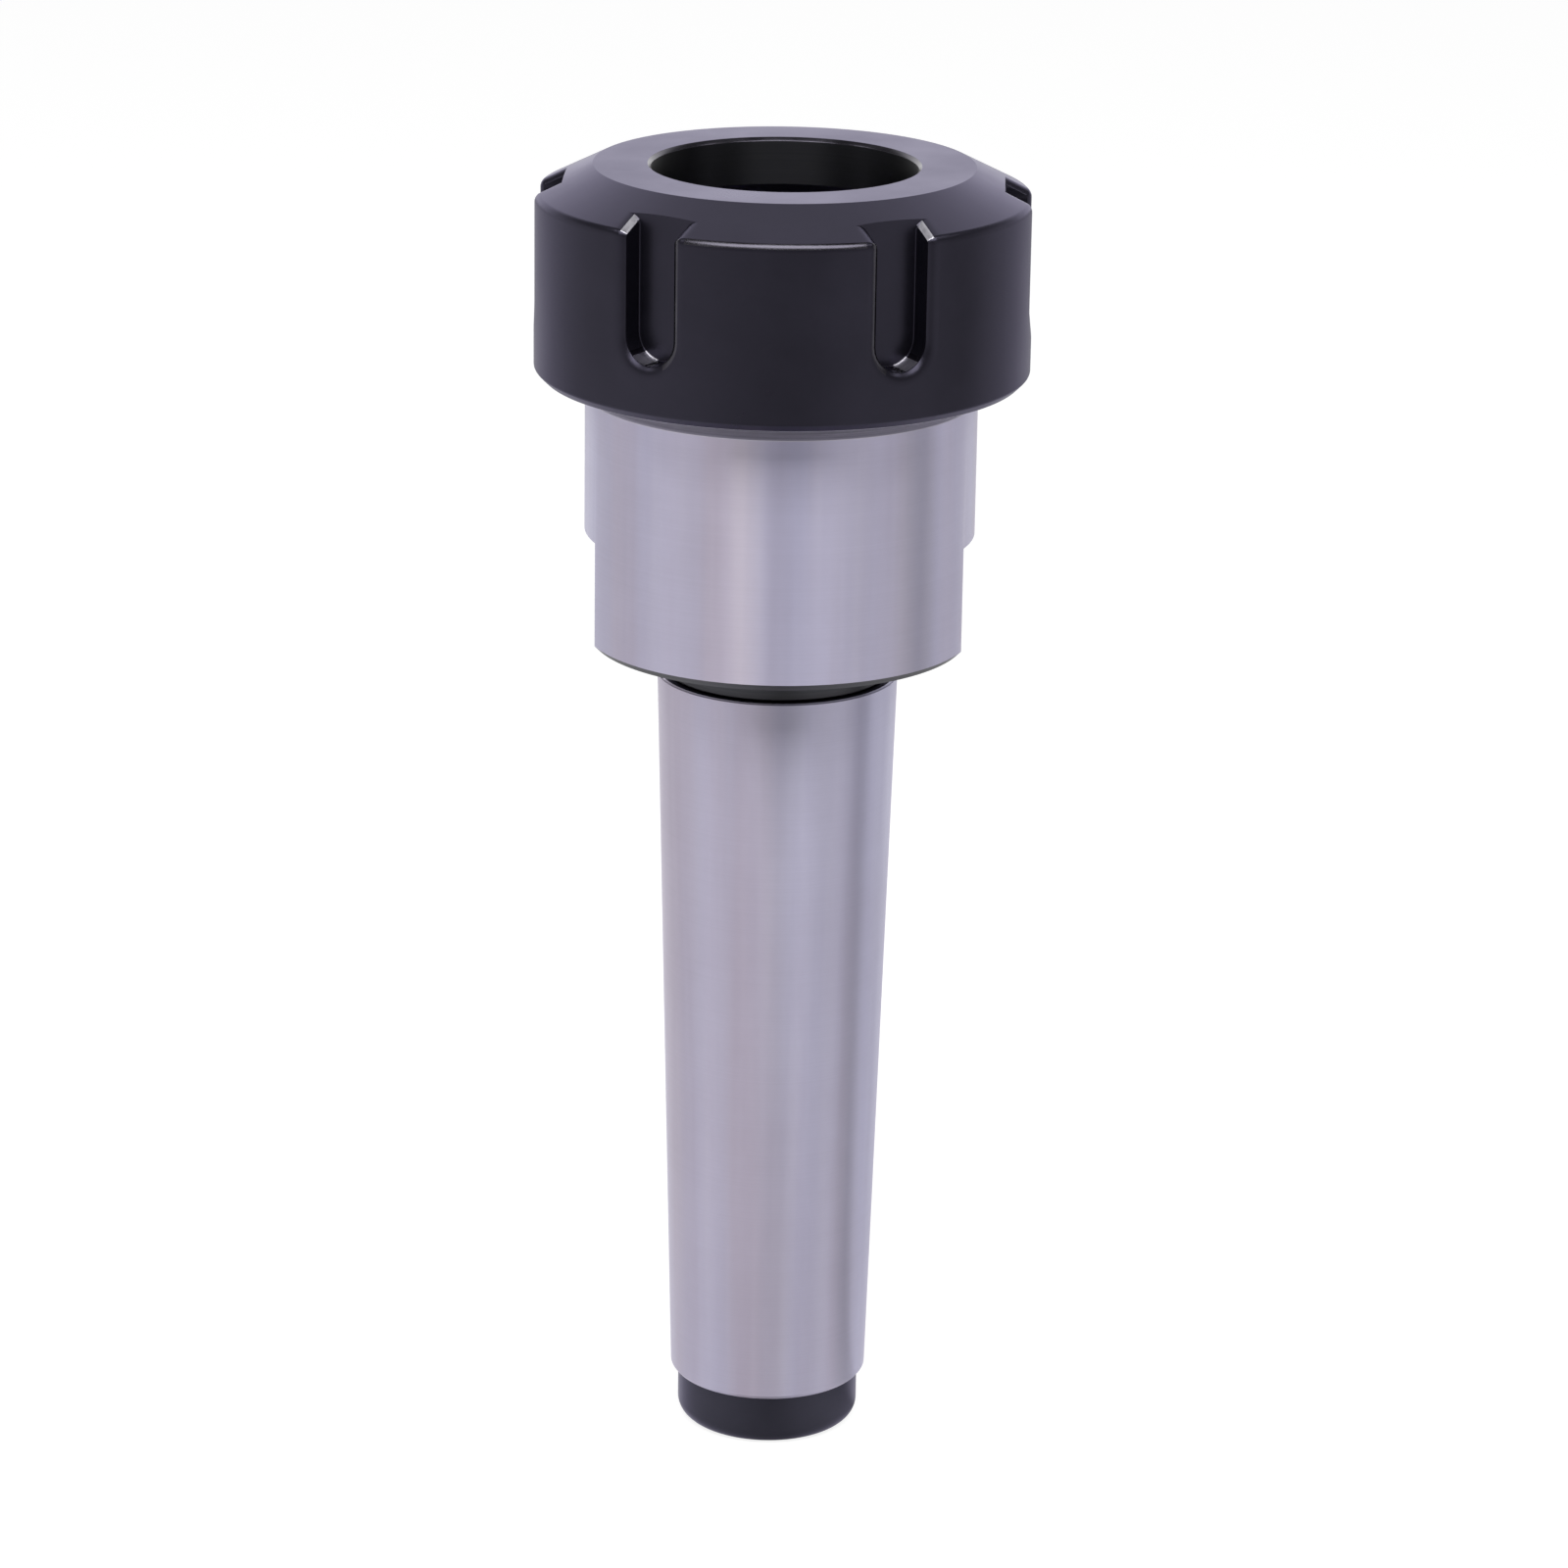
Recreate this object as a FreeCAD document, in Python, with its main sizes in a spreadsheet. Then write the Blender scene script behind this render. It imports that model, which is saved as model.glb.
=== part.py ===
"""Collet chuck holder: a taper shank chuck body with a slotted clamping nut.

Units are millimetres. The axis is Z, the tail face lies on z = 0 and the nut is at the top.
The wrench flats of the head face the X axis.
"""
import FreeCAD, Part
import math
import os

import Sketcher
from FreeCAD import Placement, Rotation, Vector

os.makedirs("parts", exist_ok=True)
document = FreeCAD.newDocument("collet_chuck_holder")

# Driving dimensions

SIZES = [
    ("gauge_diameter", 31.267, "ISO 296 size 4 taper, at the plane of the head's lower face"),
    ("taper_ratio", 19.254, "length of taper for each millimetre of diameter"),
    ("shank_length", 97.2, "ground taper"),
    ("shank_chamfer", 0.4, "edge at the taper's small end"),
    ("tail_step", 0.99, "from the taper's small end in to the black spigot"),
    ("tail_length", 7.1, "spigot below the ground taper"),
    ("tail_edge_radius", 2.2, "rounding of the spigot's end"),
    ("drawbar_hole_diameter", 14.0, "tapping size of the M16 drawbar thread"),
    ("drawbar_hole_depth", 32.0, "full diameter of the drawbar hole"),
    ("drawbar_mouth_width", 1.3, "countersink round the drawbar hole"),
    ("drawbar_mouth_angle", 90.0, "whole angle of that countersink, degrees"),
    ("neck_width", 4.5, "black groove between shank and head"),
    ("neck_depth", 1.9, "from the taper's large end in to the groove"),
    ("neck_chamfer", 0.4, "root of the groove on the shank's side"),
    ("seat_mouth_diameter", 40.0, "collet seat at the nose face"),
    ("seat_half_angle", 8.0, "degrees from the axis"),
    ("seat_depth", 33.0, "tapered collet seat"),
    ("seat_step", 0.86, "from the seat's small end in to the bore below"),
    ("seat_relief_length", 5.0, "bore below the collet seat"),
    ("point_half_angle", 59.0, "drill points, degrees from the axis"),
    ("nose_wall", 3.6, "between the seat's mouth and the thread relief"),
    ("relief_depth", 1.4, "from the head's outside in to the thread relief"),
    ("relief_width", 3.0, "width of the relief"),
    ("thread_half_depth", 0.485, "from the head's outside to the middle of the M50 x 1.5 thread"),
    ("nose_length", 12.45, "from the head's top face to the nose face"),
    ("nose_chamfer", 1.0, "lead-in of the nose thread"),
    ("head_length", 33.35, "head with both of its chamfers"),
    ("head_low_chamfer", 0.9, "edge over the neck"),
    ("head_top_chamfer", 1.0, "edge under the nut"),
    ("flat_depth", 1.65, "from the head's outside in to each of the two wrench flats"),
    ("flats_length", 14.5, "height of the flats, from the head's lower face"),
    ("nut_gap", 1.55, "between the head's top face and the nut"),
    ("nut_length", 26.85, "height of the nut"),
    ("nut_wall", 6.2, "from the clear bore beside the thread to the nut's outside"),
    ("nut_low_chamfer", 1.0, "lower outer edge of the nut"),
    ("nut_bevel", 0.8, "small bevel under the nut's cone"),
    ("nut_cone_drop", 3.7, "height of the cone round the flat front"),
    ("front_width", 6.85, "flat front, from the mouth's chamfer to the cone"),
    ("mouth_inset", 3.2, "how much smaller the nut's mouth is than the seat's mouth, on the radius"),
    ("mouth_chamfer", 0.45, "edge of the nut's mouth"),
    ("land_length", 6.05, "straight wall behind the front face"),
    ("nut_seat_half_angle", 30.0, "cone that presses on the collet, degrees"),
    ("pocket_play", 0.7, "room for the collet's collar, past the seat's mouth radius"),
    ("pocket_height", 1.0, "straight part of that room"),
    ("lip_reach", 0.5, "how far the extracting lip reaches in at the middle of its swing"),
    ("lip_offset", 0.9, "how far the lip's bore lies off the axis"),
    ("lip_thickness", 1.6, "height of the lip"),
    ("thread_clearance", 0.05, "radial play between nut and nose"),
    ("runout_play", 0.3, "clear bore at both ends of the nut's thread, past the head's radius"),
    ("runout_length", 1.6, "upper clear bore"),
    ("entry_length", 1.4, "lower clear bore"),
    ("slot_count", 6, "spanner slots"),
    ("slot_width", 7.0, "between the slot's walls"),
    ("slot_floor_wall", 2.4, "left between the slot's floor and the clear bore"),
    ("slot_end_height", 10.3, "from the nut's lower face to the centre of the slot's round end"),
    ("slot_chamfer", 0.7, "edge of each slot"),
    ("nut_clock", -1.9, "how far the nut is turned, degrees"),
]

sheet = document.addObject("Spreadsheet::Sheet", "sizes")
for row, (alias, number, meaning) in enumerate(SIZES, start=1):
    sheet.set("A%d" % row, alias)
    sheet.set("B%d" % row, str(number))
    sheet.set("C%d" % row, meaning)
    sheet.setAlias("B%d" % row, alias)
document.recompute()


def size(alias):
    """A driving dimension as a number, for picking edges."""
    return float(sheet.get(alias))


# Helpers

# Two edges within this distance are the same edge, millimetres
SAME_PLACE = 0.0001


def body(label):
    """An empty body, named as the piece it makes."""
    made = document.addObject("PartDesign::Body", label)
    made.Label = label
    return made


def plane(owner, role):
    """One of a body's own origin planes or axes."""
    return next(item for item in owner.Origin.OriginFeatures if item.Role == role)


def sketch_on(owner, role, name):
    """An empty sketch on one of the body's origin planes."""
    made = owner.newObject("Sketcher::SketchObject", name)
    made.AttachmentSupport = [(plane(owner, role), "")]
    made.MapMode = "FlatFace"
    return made


def outline(sketch, corners):
    """A closed outline of straight lines. A corner is its name, its distance from the sketch's
    upright axis and its height, both as expressions in the sheet's sizes."""
    count = len(corners)
    for index in range(count):
        start = Vector(index + 1, index + 1, 0)
        end = Vector((index + 1) % count + 1, (index + 1) % count + 1, 0)
        sketch.addGeometry(Part.LineSegment(start, end), False)
    ties = [Sketcher.Constraint("Coincident", index, 2, (index + 1) % count, 1)
            for index in range(count)]
    sketch.addConstraint(ties)
    for index, (name, across, up) in enumerate(corners):
        if across == "0":
            sketch.addConstraint(Sketcher.Constraint("PointOnObject", index, 1, -2))
        else:
            place(sketch, "DistanceX", index, name + "_across", across)
        if up == "0":
            sketch.addConstraint(Sketcher.Constraint("PointOnObject", index, 1, -1))
        else:
            place(sketch, "DistanceY", index, name + "_up", up)


def place(sketch, direction, line, name, expression):
    """Ties the start of a line to the sketch's origin in one direction."""
    number = sketch.addConstraint(Sketcher.Constraint(direction, -1, 1, line, 1, 1.0))
    sketch.renameConstraint(number, name)
    sketch.setExpression("Constraints." + name, expression)


def turned(owner, kind, name, sketch):
    """A full revolution or groove of a sketch about its upright axis."""
    feature = owner.newObject(kind, name)
    feature.Profile = sketch
    feature.ReferenceAxis = (sketch, ["V_Axis"])
    feature.Angle = 360.0
    document.recompute()
    return feature


def round_edges(feature, sketch, corner):
    """Names of the circular edges of a feature at one corner of a revolved outline."""
    radius = sketch.getDatum(corner + "_across").Value
    named = [constraint.Name for constraint in sketch.Constraints]
    height = sketch.getDatum(corner + "_up").Value if corner + "_up" in named else 0.0
    found = []
    for index, edge in enumerate(feature.Shape.Edges, start=1):
        if not isinstance(edge.Curve, Part.Circle):
            continue
        off = max(abs(edge.Curve.Radius - radius), abs(edge.Curve.Center.z - height))
        if off < SAME_PLACE:
            found.append("Edge%d" % index)
    return found


def dressed(owner, kind, name, base, edges, bound, alias):
    """A chamfer or fillet on named edges, its size tied to the sheet."""
    feature = owner.newObject(kind, name)
    feature.Base = (base, edges)
    feature.setExpression(bound, "sizes." + alias)
    document.recompute()
    return feature


def less(first, second):
    """Stops the build where a cut has removed nothing."""
    if second.Shape.Volume >= first.Shape.Volume:
        raise ValueError(second.Name + " removes nothing")


# Chuck body: tail, ground taper shank, neck, head and threaded nose in one piece

SHANK_TOP = "(sizes.tail_length + sizes.shank_length)"
HEAD_LOW = "(sizes.tail_length + sizes.shank_length + sizes.neck_width)"
HEAD_TOP = "(%s + sizes.head_length)" % HEAD_LOW
NOSE_TOP = "(%s + sizes.nose_length)" % HEAD_TOP

SHANK_HIGH_RADIUS = "((sizes.gauge_diameter - sizes.neck_width / sizes.taper_ratio) / 2)"
SHANK_LOW_RADIUS = ("((sizes.gauge_diameter - (sizes.neck_width + sizes.shank_length)"
                    " / sizes.taper_ratio) / 2)")
TAIL_RADIUS = "(%s - sizes.tail_step)" % SHANK_LOW_RADIUS
NECK_RADIUS = "(%s - sizes.neck_depth)" % SHANK_HIGH_RADIUS

SEAT_RADIUS = "(sizes.seat_mouth_diameter / 2)"
SEAT_LOW_RADIUS = "(%s - sizes.seat_depth * tan(sizes.seat_half_angle * 1 deg))" % SEAT_RADIUS
BORE_RADIUS = "(%s - sizes.seat_step)" % SEAT_LOW_RADIUS
SEAT_LOW = "(%s - sizes.seat_depth)" % NOSE_TOP
BORE_LOW = "(%s - sizes.seat_relief_length)" % SEAT_LOW

RELIEF_RADIUS = "(%s + sizes.nose_wall)" % SEAT_RADIUS
HEAD_RADIUS = "(%s + sizes.relief_depth)" % RELIEF_RADIUS
THREAD_RADIUS = "(%s - sizes.thread_half_depth)" % HEAD_RADIUS
FLAT_DISTANCE = "(%s - sizes.flat_depth)" % HEAD_RADIUS


def chuck_body():
    chuck = body("chuck_body")
    side = sketch_on(chuck, "XZ_Plane", "chuck_outline")
    outline(side, [
        ("axis_low", "0", "0"),
        ("tail_rim", TAIL_RADIUS, "0"),
        ("tail_root", TAIL_RADIUS, "sizes.tail_length"),
        ("shank_step", SHANK_LOW_RADIUS + " - sizes.shank_chamfer", "sizes.tail_length"),
        ("shank_low", SHANK_LOW_RADIUS, "sizes.tail_length + sizes.shank_chamfer"),
        ("shank_high", SHANK_HIGH_RADIUS, SHANK_TOP),
        ("neck_low", NECK_RADIUS, SHANK_TOP),
        ("neck_high", NECK_RADIUS, HEAD_LOW),
        ("head_under", HEAD_RADIUS + " - sizes.head_low_chamfer", HEAD_LOW),
        ("head_low", HEAD_RADIUS, HEAD_LOW + " + sizes.head_low_chamfer"),
        ("head_high", HEAD_RADIUS, HEAD_TOP + " - sizes.head_top_chamfer"),
        ("head_over", HEAD_RADIUS + " - sizes.head_top_chamfer", HEAD_TOP),
        ("relief_low", RELIEF_RADIUS, HEAD_TOP),
        ("relief_high", RELIEF_RADIUS, HEAD_TOP + " + sizes.relief_width"),
        ("thread_low", THREAD_RADIUS, HEAD_TOP + " + sizes.relief_width"),
        ("thread_high", THREAD_RADIUS, NOSE_TOP + " - sizes.nose_chamfer"),
        ("nose_rim", THREAD_RADIUS + " - sizes.nose_chamfer", NOSE_TOP),
        ("axis_high", "0", NOSE_TOP),
    ])
    form = turned(chuck, "PartDesign::Revolution", "chuck_form", side)

    tail = dressed(chuck, "PartDesign::Fillet", "tail_rounding", form,
                   round_edges(form, side, "tail_rim"), "Radius", "tail_edge_radius")
    root = dressed(chuck, "PartDesign::Chamfer", "neck_root", tail,
                   round_edges(tail, side, "neck_low"), "Size", "neck_chamfer")

    inside = sketch_on(chuck, "XZ_Plane", "seat_outline")
    outline(inside, [
        ("axis_high", "0", NOSE_TOP),
        ("seat_mouth", SEAT_RADIUS, NOSE_TOP),
        ("seat_low", SEAT_LOW_RADIUS, SEAT_LOW),
        ("bore_high", BORE_RADIUS, SEAT_LOW),
        ("bore_low", BORE_RADIUS, BORE_LOW),
        ("point", "0", "%s - %s / tan(sizes.point_half_angle * 1 deg)" % (BORE_LOW, BORE_RADIUS)),
    ])
    seat = turned(chuck, "PartDesign::Groove", "collet_seat", inside)
    less(root, seat)

    spot = sketch_on(chuck, "XY_Plane", "drawbar_place")
    spot.addGeometry(Part.Circle(Vector(0, 0, 0), Vector(0, 0, 1), size("drawbar_hole_diameter") / 2))
    spot.addConstraint(Sketcher.Constraint("Coincident", 0, 3, -1, 1))
    spot.addConstraint(Sketcher.Constraint("Diameter", 0, size("drawbar_hole_diameter")))
    spot.setExpression("Constraints[1]", "sizes.drawbar_hole_diameter")
    document.recompute()
    hole = chuck.newObject("PartDesign::Hole", "drawbar_hole")
    hole.Profile = spot
    hole.Reversed = True
    hole.ThreadType = 0
    hole.DepthType = 0
    hole.HoleCutType = "Countersink"
    hole.HoleCutCustomValues = True
    hole.DrillPoint = 1
    hole.DrillForDepth = False
    hole.setExpression("Diameter", "sizes.drawbar_hole_diameter")
    hole.setExpression("Depth", "sizes.drawbar_hole_depth")
    hole.setExpression("HoleCutDiameter", "sizes.drawbar_hole_diameter + sizes.drawbar_mouth_width * 2")
    hole.setExpression("HoleCutCountersinkAngle", "sizes.drawbar_mouth_angle")
    hole.setExpression("DrillPointAngle", "sizes.point_half_angle * 2")
    document.recompute()
    less(seat, hole)

    place_flat = sketch_on(chuck, "XY_Plane", "flat_place")
    place_flat.setExpression("AttachmentOffset.Base.z", HEAD_LOW)
    outline(place_flat, [
        ("flat_right", FLAT_DISTANCE, "-" + HEAD_RADIUS),
        ("outer_right", HEAD_RADIUS + " * 2", "-" + HEAD_RADIUS),
        ("outer_left", HEAD_RADIUS + " * 2", HEAD_RADIUS),
        ("flat_left", FLAT_DISTANCE, HEAD_RADIUS),
    ])
    flat = chuck.newObject("PartDesign::Pocket", "wrench_flat")
    flat.Profile = place_flat
    flat.Type = 0
    flat.Reversed = True
    flat.setExpression("Length", "sizes.flats_length")
    document.recompute()
    less(hole, flat)
    pair = chuck.newObject("PartDesign::PolarPattern", "wrench_flats")
    pair.Originals = [flat]
    pair.Axis = (place_flat, ["N_Axis"])
    pair.Angle = 360.0
    pair.Occurrences = 2
    chuck.Tip = pair
    document.recompute()
    less(flat, pair)
    return chuck


# Clamping nut: slotted outside, threaded and coned inside, in its own frame on its lower face

RUNOUT_RADIUS = "(%s + sizes.runout_play)" % HEAD_RADIUS
NUT_RADIUS = "(%s + sizes.nut_wall)" % RUNOUT_RADIUS
NUT_THREAD_RADIUS = "(%s + sizes.thread_clearance)" % THREAD_RADIUS
FLOOR_DISTANCE = "(%s + sizes.slot_floor_wall)" % RUNOUT_RADIUS
MOUTH_RADIUS = "(%s - sizes.mouth_inset)" % SEAT_RADIUS
FRONT_RADIUS = "(%s + sizes.mouth_chamfer + sizes.front_width)" % MOUTH_RADIUS
POCKET_RADIUS = "(%s + sizes.pocket_play)" % SEAT_RADIUS
LIP_RADIUS = "(%s - sizes.lip_reach)" % POCKET_RADIUS

CONE_LOW = "(sizes.nut_length - sizes.nut_cone_drop)"
LAND_LOW = "(sizes.nut_length - sizes.land_length)"
POCKET_TOP = ("(%s - (sizes.pocket_play + sizes.mouth_inset) / tan(sizes.nut_seat_half_angle * 1 deg))"
              % LAND_LOW)
LIP_TOP = "(%s - sizes.pocket_height)" % POCKET_TOP
LIP_LOW = "(%s - sizes.lip_thickness)" % LIP_TOP
THREAD_TOP = "(%s - sizes.runout_length)" % LIP_LOW

# A slot's outer edges lie past this share of its depth, and an upright axis has this much of Z
EDGE_REACH = 0.3
STRAIGHT = 0.999


def clamping_nut():
    nut = body("clamping_nut")
    side = sketch_on(nut, "XZ_Plane", "nut_outline")
    outline(side, [
        ("low_in", RUNOUT_RADIUS, "0"),
        ("low_out", NUT_RADIUS + " - sizes.nut_low_chamfer", "0"),
        ("wall_low", NUT_RADIUS, "sizes.nut_low_chamfer"),
        ("wall_high", NUT_RADIUS, CONE_LOW),
        ("front_out", FRONT_RADIUS, "sizes.nut_length"),
        ("front_in", MOUTH_RADIUS + " + sizes.mouth_chamfer", "sizes.nut_length"),
        ("land_high", MOUTH_RADIUS, "sizes.nut_length - sizes.mouth_chamfer"),
        ("land_low", MOUTH_RADIUS, LAND_LOW),
        ("pocket_high", POCKET_RADIUS, POCKET_TOP),
        ("pocket_low", POCKET_RADIUS, LIP_TOP),
        ("lip_high", LIP_RADIUS + " - sizes.lip_offset", LIP_TOP),
        ("lip_low", LIP_RADIUS + " - sizes.lip_offset", LIP_LOW),
        ("runout_high", RUNOUT_RADIUS, LIP_LOW),
        ("runout_low", RUNOUT_RADIUS, THREAD_TOP),
        ("thread_high", NUT_THREAD_RADIUS, THREAD_TOP),
        ("thread_low", NUT_THREAD_RADIUS, "sizes.entry_length"),
        ("entry_high", RUNOUT_RADIUS, "sizes.entry_length"),
    ])
    form = turned(nut, "PartDesign::Revolution", "nut_form", side)

    off_centre = sketch_on(nut, "XZ_Plane", "lip_outline")
    off_centre.setExpression("AttachmentOffset.Base.x", "sizes.lip_offset")
    outline(off_centre, [
        ("axis_low", "0", LIP_LOW),
        ("lip_low", LIP_RADIUS, LIP_LOW),
        ("lip_high", LIP_RADIUS, LIP_TOP),
        ("axis_high", "0", LIP_TOP),
    ])
    lip = turned(nut, "PartDesign::Groove", "eccentric_lip", off_centre)
    less(form, lip)

    shape = sketch_on(nut, "YZ_Plane", "slot_outline")
    shape.setExpression("AttachmentOffset.Base.z", FLOOR_DISTANCE)
    slot_outline(shape)
    slot = nut.newObject("PartDesign::Pocket", "spanner_slot")
    slot.Profile = shape
    slot.Type = 0
    slot.Reversed = True
    slot.setExpression("Length", "sizes.nut_wall * 2")
    document.recompute()
    less(lip, slot)

    slots = nut.newObject("PartDesign::PolarPattern", "spanner_slots")
    slots.Originals = [slot]
    slots.Axis = (side, ["V_Axis"])
    slots.Angle = 360.0
    slots.setExpression("Occurrences", "sizes.slot_count")
    nut.Tip = slots
    document.recompute()
    less(slot, slots)

    edges = dressed(nut, "PartDesign::Chamfer", "slot_edges", slots,
                    slot_edges(slots.Shape, side, shape), "Size", "slot_chamfer")
    less(slots, edges)

    corner = sketch_on(nut, "XZ_Plane", "bevel_outline")
    outline(corner, [
        ("bevel_in", NUT_RADIUS + " - sizes.nut_bevel", CONE_LOW + " + sizes.nut_bevel"),
        ("bevel_low", NUT_RADIUS, CONE_LOW + " - sizes.nut_bevel"),
        ("bevel_out", NUT_RADIUS + " + sizes.nut_bevel", CONE_LOW),
    ])
    bevel = turned(nut, "PartDesign::Groove", "top_bevel", corner)
    less(edges, bevel)

    nut.Placement = Placement(Vector(0, 0, 0), Rotation(Vector(0, 0, 1), 1.0))
    nut.setExpression("Placement.Base.z", HEAD_TOP + " + sizes.nut_gap")
    nut.setExpression("Placement.Rotation.Angle", "sizes.nut_clock * 1 deg")
    return nut


def slot_outline(sketch):
    """A slot with a round lower end, open at the top."""
    half = size("slot_width") / 2
    centre = size("slot_end_height")
    top = size("nut_length") + half
    sketch.addGeometry([
        Part.LineSegment(Vector(half, centre, 0), Vector(half, top, 0)),
        Part.LineSegment(Vector(half, top, 0), Vector(-half, top, 0)),
        Part.LineSegment(Vector(-half, top, 0), Vector(-half, centre, 0)),
        Part.ArcOfCircle(Part.Circle(Vector(0, centre, 0), Vector(0, 0, 1), half), math.pi, 2 * math.pi),
    ], False)
    sketch.addConstraint([
        Sketcher.Constraint("Coincident", 0, 2, 1, 1),
        Sketcher.Constraint("Coincident", 1, 2, 2, 1),
        Sketcher.Constraint("Tangent", 2, 2, 3, 1),
        Sketcher.Constraint("Tangent", 0, 1, 3, 2),
        Sketcher.Constraint("Vertical", 0),
        Sketcher.Constraint("Horizontal", 1),
        Sketcher.Constraint("PointOnObject", 3, 3, -2),
    ])
    ends = [
        ("width", Sketcher.Constraint("DistanceX", 1, 2, 1, 1, 2 * half), "sizes.slot_width"),
        ("end", Sketcher.Constraint("DistanceY", -1, 1, 3, 3, centre), "sizes.slot_end_height"),
        ("top", Sketcher.Constraint("DistanceY", -1, 1, 0, 2, top), "sizes.nut_length + sizes.slot_width / 2"),
    ]
    for name, constraint, expression in ends:
        number = sketch.addConstraint(constraint)
        sketch.renameConstraint(number, name)
        sketch.setExpression("Constraints." + name, expression)


def slot_edges(shape, side, slot):
    """Names of the edges where a slot's walls meet the outside of the nut."""
    outside = side.getDatum("wall_low_across").Value
    floor = slot.AttachmentOffset.Base.z
    found = []
    for index, edge in enumerate(shape.Edges, start=1):
        middle = edge.valueAt((edge.FirstParameter + edge.LastParameter) / 2)
        if math.hypot(middle.x, middle.y) < floor + EDGE_REACH * (outside - floor):
            continue
        faces = shape.ancestorsOfType(edge, Part.Face)
        if len([face for face in faces if is_turned(face)]) == 1:
            found.append("Edge%d" % index)
    return found


def is_turned(face):
    """True for a face turned about the nut's axis, false for a slot's own walls and floor."""
    surface = face.Surface
    return abs(surface.Axis.z) > STRAIGHT


# Build, check and write

pieces = [chuck_body(), clamping_nut()]
document.recompute()

for item in document.Objects:
    if "Invalid" in item.State or "Error" in item.State:
        raise ValueError(item.Name + " has failed: " + str(item.State))

for piece in pieces:
    if piece.Shape.isNull() or not piece.Shape.isValid():
        raise ValueError(piece.Label + " has no valid shape")

for piece in pieces:
    piece.Shape.exportStep("parts/" + piece.Label + ".step")
    box = piece.Shape.BoundBox
    print(piece.Label, "solids", len(piece.Shape.Solids), "volume", round(piece.Shape.Volume, 1),
          "x", round(box.XMin, 3), round(box.XMax, 3), "y", round(box.YMin, 3), round(box.YMax, 3),
          "z", round(box.ZMin, 3), round(box.ZMax, 3))
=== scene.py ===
"""Looks of the collet chuck holder: a ground steel chuck body and a black slotted clamping nut.

Lengths are millimetres here and are turned into metres when a mesh is made. The axis is Z.
"""

import math

import bmesh
import bpy
from mathutils import Matrix, Vector


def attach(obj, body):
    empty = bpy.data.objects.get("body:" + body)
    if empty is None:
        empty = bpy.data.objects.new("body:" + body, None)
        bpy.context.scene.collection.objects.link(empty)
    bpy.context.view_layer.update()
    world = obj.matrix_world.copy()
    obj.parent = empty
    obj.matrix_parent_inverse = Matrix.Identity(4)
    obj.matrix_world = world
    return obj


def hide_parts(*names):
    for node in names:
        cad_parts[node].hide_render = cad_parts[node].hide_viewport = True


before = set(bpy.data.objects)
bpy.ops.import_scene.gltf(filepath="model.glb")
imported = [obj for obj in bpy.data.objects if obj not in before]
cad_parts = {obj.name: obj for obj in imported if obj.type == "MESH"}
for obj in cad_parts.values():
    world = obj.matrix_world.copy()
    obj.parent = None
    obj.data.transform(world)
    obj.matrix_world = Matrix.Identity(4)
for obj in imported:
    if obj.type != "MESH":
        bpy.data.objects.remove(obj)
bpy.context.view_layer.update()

MM = 0.001
TAU = 2 * math.pi

# Chuck body, from the tail face up
TAPER_RATIO = 19.254
GAUGE_RADIUS = 15.6335
TAIL_LENGTH = 7.1
SHANK_TOP = 104.3
HEAD_LOW = 108.8
HEAD_TOP = 142.15
NOSE_TOP = 154.6
HEAD_RADIUS = 25.0
FLAT_DISTANCE = 23.35
FLAT_TOP = 123.3
HEAD_LOW_CHAMFER = 0.9
HEAD_TOP_CHAMFER = 1.0
NECK_RADIUS = 13.617
TAIL_RADIUS = 12.0
RELIEF_RADIUS = 23.6
RELIEF_WIDTH = 3.0
SEAT_RADIUS = 20.0
SEAT_DEPTH = 33.0
SEAT_TAPER = math.tan(math.radians(8.0))
BORE_RADIUS = 14.5
BORE_LENGTH = 5.0
DRAWBAR_RADIUS = 6.95
DRAWBAR_DEPTH = 32.0
DRAWBAR_MOUTH = 8.3
POINT_SLOPE = 1 / math.tan(math.radians(59.0))

# Small forms of the chuck body
DRAWBAR_PLAIN = 4.0
COUNTERSINK_ROUND = 0.12
TAIL_ROUND = 2.2
SHANK_ROUND = 0.3
SHANK_CHAMFER_WIDE = 0.35
SHANK_CHAMFER_TALL = 0.45
NECK_FILLET = 0.35
FINE_ROUND = 0.1
TURNED_ROUND = 0.15
CHAMFER_STEP = 0.45
CHAMFER_STEP_END = 0.5
NOSE_CHAMFER = 0.5
SEAT_CHAMFER = 0.3
# Cosine of an angle from the middle of a wrench flat that lies past the flat's edge
BESIDE_FLAT = 0.5
# Rings beside the edges of the head's lower chamfer: on the underside and on the wall
UNDER_RING_IN = 2.0
WALL_RING_UP = 0.15

# How far from an edge of the chuck body one finish gives way to the next
TAIL_BLACK_IN = 0.4
NECK_BLACK_IN = 0.35
NECK_BLACK_UP = 0.3
HEAD_STEEL_DOWN = 0.1
HEAD_TURNED_IN = 0.4

# Threads: pitch and the two radii that the flanks run between
NOSE_THREAD = {"pitch": 1.5, "root": 24.12, "crest": 24.95}
NUT_THREAD = {"pitch": 1.5, "root": 25.03, "crest": 24.20}
DRAWBAR_THREAD = {"pitch": 2.0, "root": 8.02, "crest": 6.95}

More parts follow.
